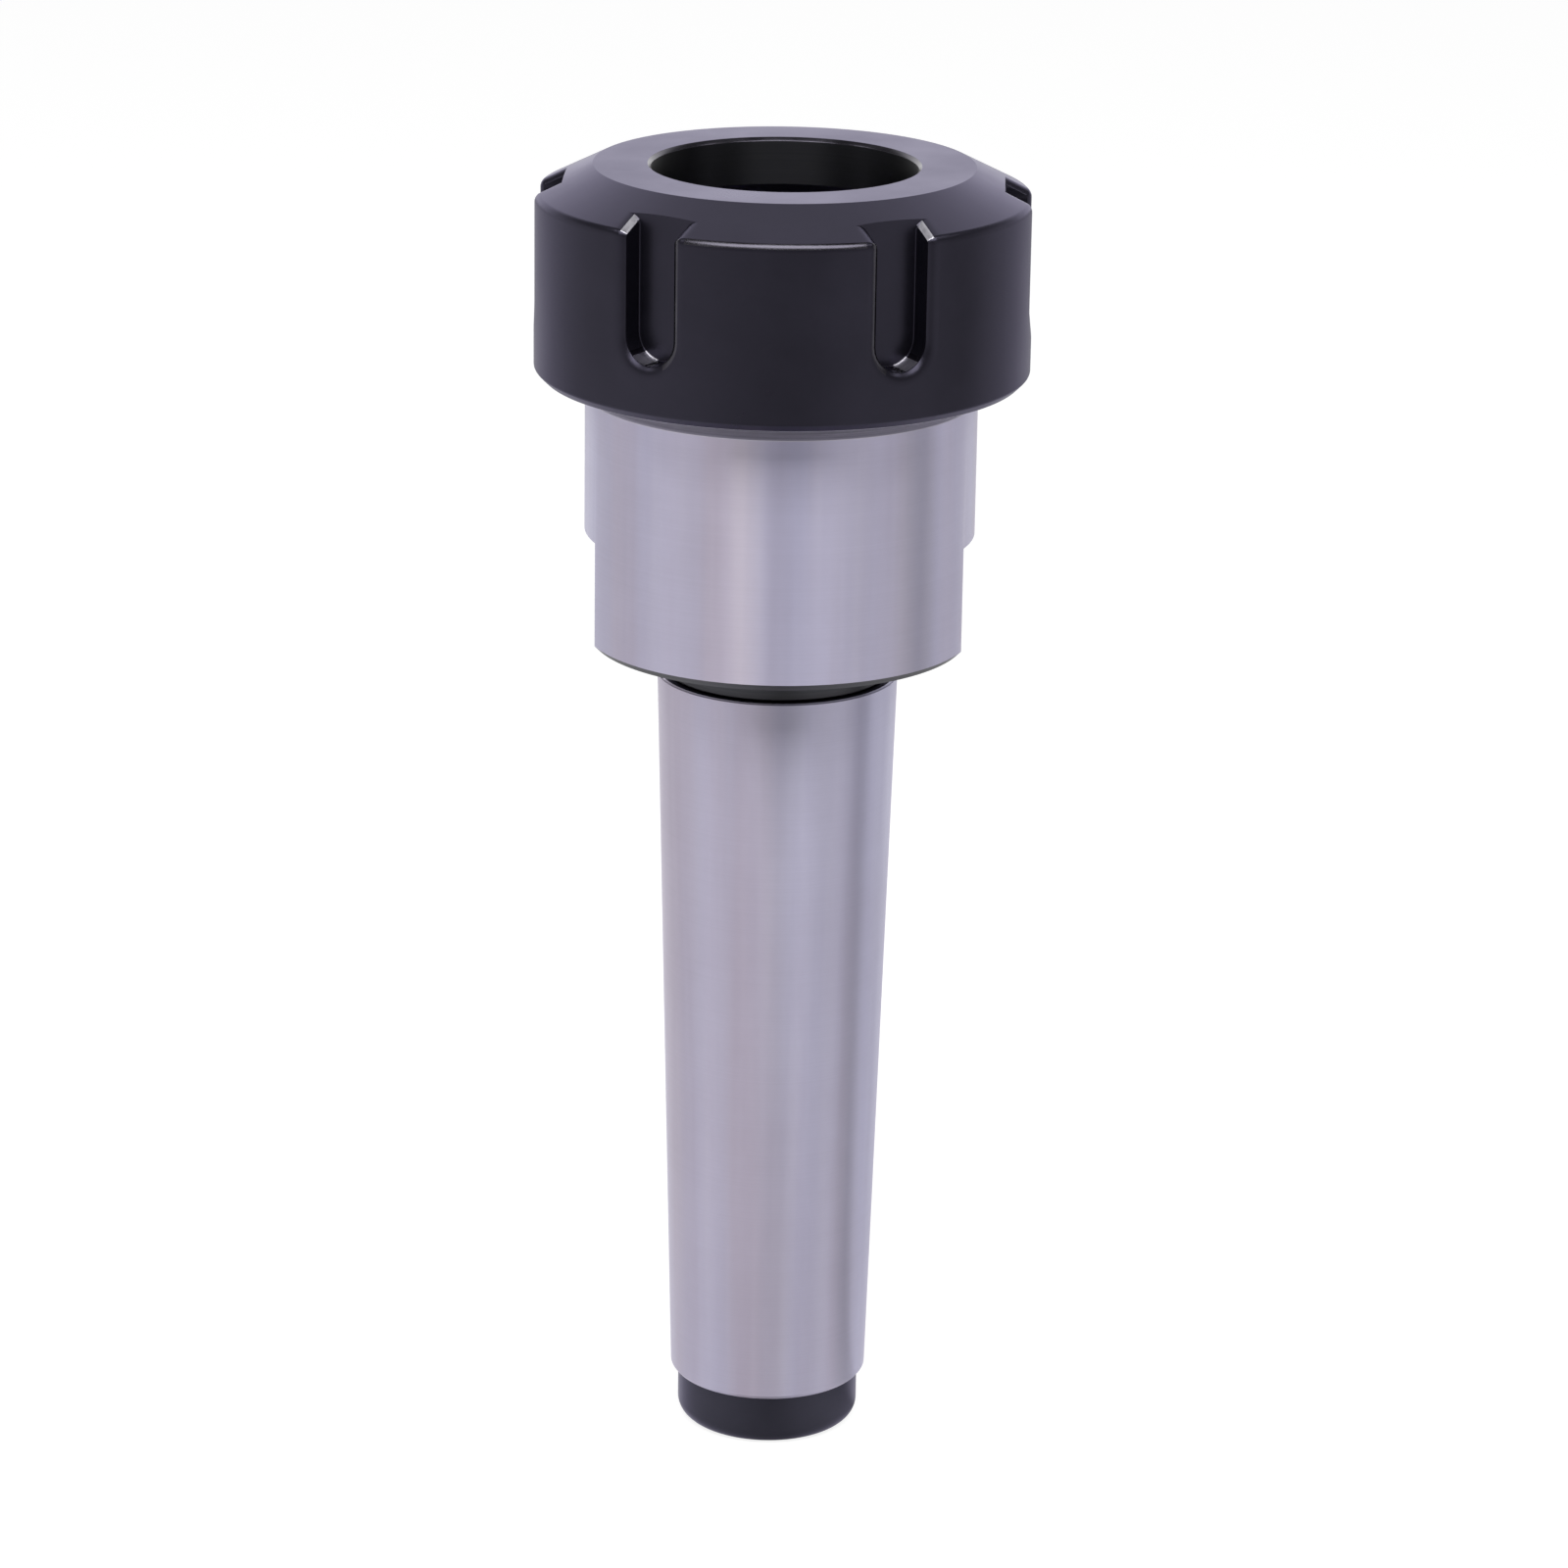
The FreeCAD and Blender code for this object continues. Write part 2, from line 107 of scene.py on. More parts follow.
# Nut, heights from its own lower face
NUT_LOW = 143.7
NUT_LENGTH = 26.85
NUT_RADIUS = 31.5
NUT_CLOCK = math.radians(-1.9)
NUT_LOW_CHAMFER = 1.0
CONE_LOW = 23.15
FRONT_RADIUS = 24.1
MOUTH_RADIUS = 16.8
MOUTH_CHAMFER = 0.45
LAND_LOW = 20.8
POCKET_RADIUS = 20.7
POCKET_HEIGHT = 1.0
POCKET_TOP = LAND_LOW - (POCKET_RADIUS - MOUTH_RADIUS) / math.tan(math.radians(30.0))
LIP_RADIUS = 20.2
LIP_OFFSET = 0.9
LIP_THICKNESS = 1.6
RUNOUT_RADIUS = 25.3
RUNOUT_LENGTH = 1.6
ENTRY_LENGTH = 1.4
SLOTS = 6
SECTOR = TAU / SLOTS
SLOT_HALF = 3.5
SLOT_FLOOR = 27.7
SLOT_END = 10.3
SLOT_CHAMFER = 0.7

# Small forms of the nut
LOW_FACE_ROUND = 0.25
LOW_WALL_ROUND = 0.5
FOOT_TOP = 3.0
SHOULDER_ROUND = 1.35
SHOULDER_SWING = math.radians(51.0)
RIM_ROUND = 0.12
FRONT_ROUND = 0.1
MOUTH_ROUND = 0.2
LAND_ROUND = 0.15
POCKET_ROUND = 0.2
EDGE_SOFT = 0.9
EDGE_CRISP = 0.06
FLOOR_ROUND = 0.18

# Making of the meshes: weld distance in metres, the angle in degrees over which an edge stays
# sharp, the fewest steps of an arc and the length of a step along it
WELD = 2e-6
SHARP_ANGLE = 32.0
ARC_STEPS = 3
ARC_STEP = 0.25


class Skin:
    """A closed mesh in the making: points in millimetres, faces and the material of each face."""

    def __init__(self):
        self.points = []
        self.faces = []
        self.finishes = []

    def add(self, points):
        """Adds points and returns their numbers."""
        first = len(self.points)
        self.points.extend(points)
        return list(range(first, len(self.points)))

    def face(self, corners, finish):
        self.faces.append(corners)
        self.finishes.append(finish)

    def strip(self, one, other, finish, closed=True):
        """Quads between two rows of points of the same length. Returns the second row."""
        count = len(one)
        for index in range(count if closed else count - 1):
            after = (index + 1) % count
            self.face((one[index], one[after], other[after], other[index]), finish)
        return other

    def piece(self, name, materials):
        """Makes the object, with doubled points welded and edges over the sharp angle kept sharp."""
        mesh = bpy.data.meshes.new(name)
        mesh.from_pydata([tuple(value * MM for value in point) for point in self.points], [], self.faces)
        for each in materials:
            mesh.materials.append(each)
        mesh.polygons.foreach_set("material_index", self.finishes)
        work = bmesh.new()
        work.from_mesh(mesh)
        bmesh.ops.remove_doubles(work, verts=work.verts, dist=WELD)
        bmesh.ops.dissolve_degenerate(work, edges=work.edges, dist=WELD)
        bmesh.ops.recalc_face_normals(work, faces=work.faces)
        for part in work.faces:
            part.smooth = True
        work.to_mesh(mesh)
        work.free()
        mesh.set_sharp_from_angle(angle=math.radians(SHARP_ANGLE))
        made = bpy.data.objects.new(name, mesh)
        bpy.context.scene.collection.objects.link(made)
        weigh = made.modifiers.new("even_shading", "WEIGHTED_NORMAL")
        weigh.mode = "FACE_AREA"
        weigh.keep_sharp = True
        return made


def rounded(corners):
    """Points of an outline of (radius, height, rounding) corners, each rounded by an arc."""
    out = []
    for index, (across, up, rounding) in enumerate(corners):
        corner = Vector((across, up))
        if rounding == 0 or index in (0, len(corners) - 1):
            out.append(corner)
            continue
        before = (Vector(corners[index - 1][:2]) - corner).normalized()
        after = (Vector(corners[index + 1][:2]) - corner).normalized()
        half = math.acos(max(-1.0, min(1.0, before.dot(after)))) / 2
        reach = rounding / math.tan(half)
        centre = corner + (before + after).normalized() * (rounding / math.sin(half))
        start = corner + before * reach - centre
        swing = math.pi - 2 * half
        turn = -1 if start.x * after.y - start.y * after.x < 0 else 1
        count = max(ARC_STEPS, round(swing * rounding / ARC_STEP))
        for step in range(count + 1):
            angle = turn * swing * step / count
            spoke = Vector((start.x * math.cos(angle) - start.y * math.sin(angle),
                            start.x * math.sin(angle) + start.y * math.cos(angle)))
            out.append(centre + spoke)
    return out


def bend(start, corner, end, steps):
    """Points of a smooth bend between two lines that meet at a corner."""
    out = []
    for step in range(steps + 1):
        share = step / steps
        out.append(tuple((1 - share) ** 2 * start[axis] + 2 * share * (1 - share) * corner[axis]
                         + share ** 2 * end[axis] for axis in range(2)))
    return out


def spin(angle, radius, height):
    return (radius * math.cos(angle), radius * math.sin(angle), height)


# Shares of the pitch that a thread's narrow and wide flats take up, the turns by which its rows
# start below its low end, and the turns that they have to spare
NARROW_FLAT = 0.125
WIDE_FLAT = 0.25
TURNS_BELOW = 2
TURNS_SPARE = 3


def screw(skin, angles, thread, low, high, end_radius, finish, inner=False):
    """A right-hand thread between two heights, with this radius at both ends. The rows of points
    follow the thread, so that its crests and roots are clean lines. Returns the two end rings."""
    root = thread["root"]
    crest = thread["crest"]
    root_flat = NARROW_FLAT if inner else WIDE_FLAT
    crest_flat = WIDE_FLAT if inner else NARROW_FLAT
    shift = 0.5 if inner else 0.0
    profile = [(shift - crest_flat / 2, crest), (shift + crest_flat / 2, crest),
               (shift + 0.5 - root_flat / 2, root), (shift + 0.5 + root_flat / 2, root)]
    each = len(profile)
    turns = math.ceil((high - low) / thread["pitch"]) + TURNS_SPARE
    grid = []
    for angle in angles:
        column = []
        for row in range(turns * each + 1):
            share, radius = profile[row % each]
            height = low + thread["pitch"] * (row // each - TURNS_BELOW + share + angle / TAU)
            if not low < height < high:
                radius = end_radius
            column.append(spin(angle, radius, min(max(height, low), high)))
        grid.append(skin.add(column))
    # The last column meets the first one a whole turn up
    for one, other in zip(grid, grid[1:] + [grid[0][each:]]):
        for row in range(min(len(one), len(other)) - 1):
            skin.face((one[row], other[row], other[row + 1], one[row + 1]), finish)
    bottom = skin.add([spin(angle, end_radius, low) for angle in angles])
    top = skin.add([spin(angle, end_radius, high) for angle in angles])
    return bottom, top


# Chuck body

# Finishes of the chuck body, by the place of their material. BLACK has the same one on the nut.
STEEL = 0
BLACK = 1
TURNED = 2
NECK = 3
BODY_COLUMNS = 240


def body_angles():
    """Even angles round the body, with the nearest ones moved to the edges of the wrench flats."""
    angles = [TAU * index / BODY_COLUMNS for index in range(BODY_COLUMNS)]
    edge = math.acos(FLAT_DISTANCE / HEAD_RADIUS)
    inner = math.acos(FLAT_DISTANCE / (HEAD_RADIUS - HEAD_LOW_CHAMFER))
    for wanted in (edge, inner, math.pi - edge, math.pi - inner,
                   math.pi + edge, math.pi + inner, TAU - edge, TAU - inner):
        nearest = min(range(BODY_COLUMNS), key=lambda index: abs(angles[index] - wanted))
        angles[nearest] = wanted
    return angles


def taper_radius(height):
    return GAUGE_RADIUS - (HEAD_LOW - height) / TAPER_RATIO / 2


def flat_limit(angle):
    """Distance from the axis to the wrench flat along one direction, or far out beside it."""
    across = abs(math.cos(angle))
    return FLAT_DISTANCE / across if across > BESIDE_FLAT else 2 * HEAD_RADIUS


class BodySkin(Skin):
    """The chuck body in rings of points, each joined to the one before."""

    def __init__(self):
        super().__init__()
        self.angles = body_angles()
        self.last = None

    def ring(self, points, finish):
        row = self.add(points)
        if self.last is not None:
            self.strip(self.last, row, finish)
        self.last = row

    def turned(self, outline, finish):
        """Rings at the (radius, height) points of an outline."""
        for across, up in outline:
            self.ring([spin(angle, across, up) for angle in self.angles], finish)

    def drawbar_hole(self):
        """From the drill point down to the countersink."""
        self.turned([(0.0, DRAWBAR_DEPTH + DRAWBAR_RADIUS * POINT_SLOPE),
                     (DRAWBAR_RADIUS, DRAWBAR_DEPTH)], BLACK)
        low, high = screw(self, self.angles, DRAWBAR_THREAD, DRAWBAR_MOUTH - DRAWBAR_RADIUS,
                          DRAWBAR_DEPTH - DRAWBAR_PLAIN, DRAWBAR_RADIUS, BLACK, inner=True)
        self.strip(self.last, high, BLACK)
        self.last = low

    def tail_and_shank(self):
        small = taper_radius(TAIL_LENGTH)
        large = taper_radius(SHANK_TOP)
        tail_end = (small - TAIL_BLACK_IN, TAIL_LENGTH, 0)
        shank_end = (large - NECK_BLACK_IN, SHANK_TOP, 0)
        self.turned(rounded([(DRAWBAR_RADIUS, DRAWBAR_MOUTH - DRAWBAR_RADIUS, 0),
                             (DRAWBAR_MOUTH, 0.0, COUNTERSINK_ROUND),
                             (TAIL_RADIUS, 0.0, TAIL_ROUND),
                             (TAIL_RADIUS, TAIL_LENGTH, FINE_ROUND), tail_end]), BLACK)
        self.turned(rounded([tail_end, (small - SHANK_CHAMFER_WIDE, TAIL_LENGTH, 0),
                             (small, TAIL_LENGTH + SHANK_CHAMFER_TALL, SHANK_ROUND),
                             (large, SHANK_TOP, TURNED_ROUND), shank_end]), STEEL)
        neck = rounded([shank_end, (NECK_RADIUS, SHANK_TOP, NECK_FILLET),
                        (NECK_RADIUS, HEAD_LOW, NECK_FILLET),
                        (HEAD_RADIUS - HEAD_LOW_CHAMFER - UNDER_RING_IN, HEAD_LOW, 0)])
        self.turned([point for point in neck if point[1] < SHANK_TOP + NECK_BLACK_UP], BLACK)
        self.turned([point for point in neck if point[1] >= SHANK_TOP + NECK_BLACK_UP], NECK)

    def head(self):
        """The head's lower chamfer and two flats, then its upper chamfer with a step in it."""
        foot = HEAD_RADIUS - HEAD_LOW_CHAMFER
        chamfer_head = HEAD_LOW + HEAD_LOW_CHAMFER
        limits = [(angle, flat_limit(angle)) for angle in self.angles]
        reaches = [(angle, min(HEAD_RADIUS, limit)) for angle, limit in limits]
        # The underside and lower chamfer take the neck's oxide, which is lightened as painted light on
        # their shade.
        self.ring([spin(angle, min(foot, limit), HEAD_LOW) for angle, limit in limits], NECK)
        self.ring([spin(angle, reach, HEAD_LOW + max(0.0, reach - foot)) for angle, reach in reaches],
                  NECK)
        for height in (chamfer_head + WALL_RING_UP, FLAT_TOP):
            self.ring([spin(angle, reach, height) for angle, reach in reaches], STEEL)
        edge = HEAD_TOP - HEAD_TOP_CHAMFER
        top = HEAD_RADIUS - HEAD_TOP_CHAMFER
        self.turned([(HEAD_RADIUS, FLAT_TOP), (HEAD_RADIUS, edge - HEAD_STEEL_DOWN)], STEEL)
        self.turned(rounded([(HEAD_RADIUS, edge - HEAD_STEEL_DOWN, 0),
                             (HEAD_RADIUS, edge, FINE_ROUND),
                             (HEAD_RADIUS - CHAMFER_STEP, edge + CHAMFER_STEP, 0),
                             (HEAD_RADIUS - CHAMFER_STEP_END, edge + CHAMFER_STEP, 0),
                             (top, HEAD_TOP, FINE_ROUND), (top - HEAD_TURNED_IN, HEAD_TOP, 0)]),
                    TURNED)

    def nose(self):
        """Thread relief, thread, collet seat and the bore below it."""
        root = NOSE_THREAD["root"]
        relief_top = HEAD_TOP + RELIEF_WIDTH
        thread_top = NOSE_TOP - NOSE_CHAMFER
        seat_foot = NOSE_TOP - SEAT_DEPTH
        self.turned(rounded([(HEAD_RADIUS - HEAD_TOP_CHAMFER - HEAD_TURNED_IN, HEAD_TOP, 0),
                             (RELIEF_RADIUS, HEAD_TOP, TURNED_ROUND),
                             (RELIEF_RADIUS, relief_top, TURNED_ROUND), (root, relief_top, 0)]), BLACK)
        low, high = screw(self, self.angles, NOSE_THREAD, relief_top, thread_top, root, BLACK)
        self.strip(self.last, low, BLACK)
        self.last = high
        self.turned(rounded([(root, thread_top, 0), (root - NOSE_CHAMFER, NOSE_TOP, FINE_ROUND),
                             (SEAT_RADIUS + SEAT_CHAMFER, NOSE_TOP, FINE_ROUND),
                             (SEAT_RADIUS, NOSE_TOP - SEAT_CHAMFER, 0)]), BLACK)
        self.turned([(SEAT_RADIUS, NOSE_TOP - SEAT_CHAMFER),
                     (SEAT_RADIUS - SEAT_DEPTH * SEAT_TAPER, seat_foot)], STEEL)
        self.turned([(BORE_RADIUS, seat_foot), (BORE_RADIUS, seat_foot - BORE_LENGTH),
                     (0.0, seat_foot - BORE_LENGTH - BORE_RADIUS * POINT_SLOPE)], BLACK)


def chuck_skin():
    skin = BodySkin()
    skin.drawbar_hole()
    skin.tail_and_shank()
    skin.head()
    skin.nose()
    return skin


# Clamping nut

# Finishes of the nut, beside BLACK
WORN = 0
RUBBED = 2
LAND = 3
BARE = 4

# Rows and columns of the nut's mesh
FLOOR_STEPS = 3
SOFT_STEPS = 6
CRISP_STEPS = 3
IN_SLOT = 16
BETWEEN = 14
LEG_ROWS = 8
SHOULDER_ROWS = 6
CONE_ROWS = 6
TOP_ROWS = 4
WALL_ROWS = 6

# Faces along one leg of a slot's outline, and along the whole of it
LEG_FACES = LEG_ROWS + SHOULDER_ROWS + CONE_ROWS
OUTLINE_FACES = 2 * LEG_FACES + IN_SLOT

# Wear. Sides of each slot whose chamfer and round end are chipped, and the slots after which the
# shoulder is rubbed as far as the next one, from this row of it on
WORN_SIDES = {1: (-1, 1), 4: (-1,), 5: (1,)}
RUBBED_SPANS = (1, 4)
RUBBED_FROM = 3
# Faces across the slot's edge and down from its top that are chipped, and those that are rubbed
CHIP_ACROSS = range(3, 9)
CHIP_ALONG = range(0, 7)
RUB_ACROSS = range(3, 7)
RUB_ALONG = range(CONE_ROWS, LEG_FACES + 5)
# Shares of the half of a slot's round end, from its middle out, that are chipped and rubbed
CHIP_END = (0.12, 0.44)
RUB_END = (0.0, 0.57)
# The bare lower edge of the nut ends this far up and in, and the rubbed chamfer of its mouth
# starts this far inside the chamfer's edge and ends this far below it
BARE_UP = 0.2
BARE_IN = 0.2
MOUTH_RUB_IN = 0.01
MOUTH_RUB_DOWN = 0.05

# Slope of the cone, and half the width that a slot takes up on the wall with its soft edges
NUT_SLOPE = math.atan2(NUT_LENGTH - CONE_LOW, NUT_RADIUS - FRONT_RADIUS)
SLOT_RIM = SLOT_HALF + SLOT_CHAMFER + EDGE_SOFT
# Angles round the end of a slot, from its left side to its right one
END_TURNS = [math.pi * (step / IN_SLOT - 0.5) for step in range(IN_SLOT + 1)]


class Outside:
    """The nut's outer outline: wall, rounded shoulder and cone, at any depth under the surface."""

    def __init__(self, depth):
        self.radius = NUT_RADIUS - depth
        self.round = SHOULDER_ROUND - depth
        drop = SHOULDER_ROUND * (1 - math.cos(SHOULDER_SWING))
        top = CONE_LOW + drop * math.tan(NUT_SLOPE)
        self.centre = Vector((NUT_RADIUS - SHOULDER_ROUND,
                              top - SHOULDER_ROUND * math.sin(SHOULDER_SWING)))
        upright = math.pi / 2 - NUT_SLOPE
        gap = SHOULDER_ROUND * math.cos(upright - SHOULDER_SWING) - depth
        self.swing = upright - math.acos(gap / self.round)

    def leg(self, share):
        """A point of the straight wall, from the slot's round end up to the shoulder."""
        return Vector((self.radius, SLOT_END + (self.centre.y - SLOT_END) * share))

    def shoulder(self, share):
        angle = self.swing * share
        return self.centre + self.round * Vector((math.cos(angle), math.sin(angle)))

    def cone(self, length):
        """A point of the cone, this far up its slope from the shoulder."""
        return self.shoulder(1.0) + length * Vector((-math.cos(NUT_SLOPE), math.sin(NUT_SLOPE)))

    def to_radius(self, radius):
        """Length up the slope to this distance from the axis."""
        return (self.shoulder(1.0).x - radius) / math.cos(NUT_SLOPE)

    def rows(self, across):
        """The leg of a slot edge this far from the slot's middle: (radius, height) points up to
        where it meets the plane of the slot's floor."""
        out = [self.leg(row / LEG_ROWS) for row in range(LEG_ROWS + 1)]
        out += [self.shoulder(row / SHOULDER_ROWS) for row in range(1, SHOULDER_ROWS + 1)]
        end = self.to_radius(math.hypot(SLOT_FLOOR, across))
        out += [self.cone(end * (row / CONE_ROWS) ** 2) for row in range(1, CONE_ROWS + 1)]
        return out


SURFACE = Outside(0.0)
# Length up the cone to the rim of the flat front
FRONT = SURFACE.to_radius(FRONT_RADIUS + RIM_ROUND)


def edge_path():
    """The slot's edge in section: (distance outside the slot's wall, depth under the surface)."""
    edge = SLOT_CHAMFER
    slant = EDGE_SOFT / math.sqrt(2)
    first = bend((edge + EDGE_SOFT, 0.0), (edge, 0.0), (edge - slant, slant), SOFT_STEPS)
    slant = EDGE_CRISP / math.sqrt(2)
    second = bend((slant, edge - slant), (0.0, edge), (0.0, edge + EDGE_CRISP), CRISP_STEPS)
    return first + second


def slot_angle(number):
    return NUT_CLOCK + number * SECTOR


def on_nut(angle, point):
    """A point of the nut from an angle and its (radius, height)."""
    return spin(angle, point[0], NUT_LOW + point[1])


def lip_radius(angle):
    """Distance from the axis to the bore of the eccentric lip."""
    turn = angle - NUT_CLOCK
    return LIP_OFFSET * math.cos(turn) + math.sqrt(LIP_RADIUS ** 2 - (LIP_OFFSET * math.sin(turn)) ** 2)


class NutSkin(Skin):
    """The nut in rows of points round it. Each sector has IN_SLOT + 1 columns of points across a
    slot, then those between its edge and the next slot."""

    def __init__(self):
        super().__init__()
        edge_angle = math.asin(SLOT_RIM / NUT_RADIUS)
        self.inside = [SLOT_RIM * math.sin(turn) for turn in END_TURNS]
        gap = SECTOR - 2 * edge_angle
        beyond = [edge_angle + gap * step / (2 * BETWEEN) for step in range(1, 2 * BETWEEN)]
        self.angles = []
        for number in range(SLOTS):
            middle = slot_angle(number)
            self.angles += [middle + math.asin(across / NUT_RADIUS) for across in self.inside]
            self.angles += [middle + angle for angle in beyond]
        self.count = len(self.angles)
        self.each = self.count // SLOTS

    def ring(self, radius, height):
        return self.add([on_nut(angle, (radius, height)) for angle in self.angles])

    def columns_after(self, number):
        """Columns from the right edge of this slot to the left edge of the next."""
        first = number * self.each + IN_SLOT
        return [index % self.count for index in range(first, (number + 1) * self.each + 1)]

    def foot(self):
        """The lower edge. Returns its first and last rows and the height of the last."""
        outline = rounded([(RUNOUT_RADIUS, 0.0, 0),
                           (NUT_RADIUS - NUT_LOW_CHAMFER, 0.0, LOW_FACE_ROUND),
                           (NUT_RADIUS, NUT_LOW_CHAMFER, LOW_WALL_ROUND), (NUT_RADIUS, FOOT_TOP, 0)])
        first = self.ring(*outline[0])
        last = first
        for across, up in outline[1:-1]:
            bare = up < BARE_UP and across > NUT_RADIUS - NUT_LOW_CHAMFER - BARE_IN
            last = self.strip(last, self.ring(across, up), BARE if bare else BLACK)
        return first, last, outline[-2].y

    def wall(self, last, start):
        """The wall up to the edges of the slots' round ends."""
        for step in range(1, WALL_ROWS + 1):
            points = []
            for index, angle in enumerate(self.angles):
                end = SLOT_END
                if index % self.each <= IN_SLOT:
                    across = self.inside[index % self.each]
                    end -= math.sqrt(max(0.0, SLOT_RIM ** 2 - across ** 2))
                points.append(on_nut(angle, (NUT_RADIUS, start + (end - start) * step / WALL_ROWS)))
            last = self.strip(last, self.add(points), BLACK)
        return last

    def span(self, number, last):
        """Wall, shoulder and cone between this slot and the next. Returns the top row."""
        middle = slot_angle(number)
        columns = self.columns_after(number)
        row = [last[index] for index in columns]
        for step, point in enumerate(SURFACE.rows(SLOT_RIM)[1:], start=1):
            edge = math.asin(SLOT_RIM / point.x)
            turns = [self.angles[index] for index in columns]
            turns[0] = middle + edge
            turns[-1] = middle + SECTOR - edge
            rubbed = number in RUBBED_SPANS and RUBBED_FROM <= step - LEG_ROWS <= SHOULDER_ROWS
            above = self.add([on_nut(turn, point) for turn in turns])
            row = self.strip(row, above, RUBBED if rubbed else BLACK, closed=False)
        return row

    def slots(self, spans):
        """Cuts the slots. Returns the row of points round the cone at the slots' top edges."""
        tops = {}
        for number in range(SLOTS):
            tops.update(Slot(self, number).cut())
        for number, span in enumerate(spans):
            tops.update(zip(self.columns_after(number)[1:-1], span[1:-1]))
        return [tops[index] for index in range(self.count)]

    def upper_cone(self, last):
        starts = [Vector(self.points[number]) for number in last]
        for step in range(1, TOP_ROWS + 1):
            points = []
            for angle, start in zip(self.angles, starts):
                turn = math.atan2(start.y, start.x)
                turn += math.remainder(angle - turn, TAU) * step / TOP_ROWS
                length = SURFACE.to_radius(math.hypot(start.x, start.y))
                points.append(on_nut(turn, SURFACE.cone(length + (FRONT - length) * step / TOP_ROWS)))
            last = self.strip(last, self.add(points), BLACK)
        return last

    def mouth(self, last):
        """Flat front, mouth, inner cone and pocket."""
        outline = rounded([(*SURFACE.cone(FRONT), 0), (FRONT_RADIUS, NUT_LENGTH, RIM_ROUND),
                           (MOUTH_RADIUS + MOUTH_CHAMFER, NUT_LENGTH, FRONT_ROUND),
                           (MOUTH_RADIUS, NUT_LENGTH - MOUTH_CHAMFER, MOUTH_ROUND),
                           (MOUTH_RADIUS, LAND_LOW, LAND_ROUND),
                           (POCKET_RADIUS, POCKET_TOP, POCKET_ROUND),
                           (POCKET_RADIUS, POCKET_TOP - POCKET_HEIGHT, 0)])
        for across, up in outline[1:]:
            finish = BLACK
            if across < MOUTH_RADIUS + MOUTH_CHAMFER - MOUTH_RUB_IN:
                rubbed = up > NUT_LENGTH - MOUTH_CHAMFER - MOUTH_RUB_DOWN
                finish = RUBBED if rubbed else LAND
            last = self.strip(last, self.ring(across, up), finish)
        return last

    def lip_and_thread(self, last, first):
        """Eccentric lip, run-out and thread, down to the first row."""
        lip_top = POCKET_TOP - POCKET_HEIGHT
        lip_low = lip_top - LIP_THICKNESS
        for up in (lip_top, lip_low):
            row = self.add([spin(angle, lip_radius(angle), NUT_LOW + up) for angle in self.angles])
            last = self.strip(last, row, BLACK)
        for up in (lip_low, lip_low - RUNOUT_LENGTH):
            last = self.strip(last, self.ring(RUNOUT_RADIUS, up), BLACK)
        order = sorted(range(self.count), key=lambda index: self.angles[index] % TAU)
        low, high = screw(self, [self.angles[index] % TAU for index in order], NUT_THREAD,
                          NUT_LOW + ENTRY_LENGTH, NUT_LOW + lip_low - RUNOUT_LENGTH,
                          NUT_THREAD["root"], BLACK, inner=True)
        self.strip([last[index] for index in order], high, BLACK)
        entry = self.ring(RUNOUT_RADIUS, ENTRY_LENGTH)
        self.strip([entry[index] for index in order], low, BLACK)
        self.strip(entry, first, BLACK)


